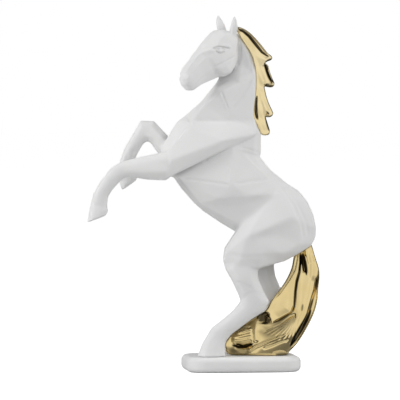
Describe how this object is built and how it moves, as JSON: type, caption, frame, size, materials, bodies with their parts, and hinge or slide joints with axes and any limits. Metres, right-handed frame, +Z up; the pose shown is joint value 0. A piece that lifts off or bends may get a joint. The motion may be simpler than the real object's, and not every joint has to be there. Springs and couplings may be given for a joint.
{
  "type": "horse sculpture",
  "caption": "Faceted rearing horse figurine in matt white ceramic, with a gilded mane and tail, on a low round-cornered slab base",
  "frame": {"origin": "centre of the base's underside", "axes": "+Z up from the underside of the base to the ears, the horse faces -X, its left flank is on -Y"},
  "size_m": [0.2378, 0.076, 0.3553],
  "materials": {
    "white_ceramic": "matt",
    "gold_lustre": "polished"
  },
  "bodies": {
    "root": {"horse": "white_ceramic", "base": "white_ceramic", "mane": "gold_lustre", "tail": "gold_lustre"}
  },
  "joints": []
}
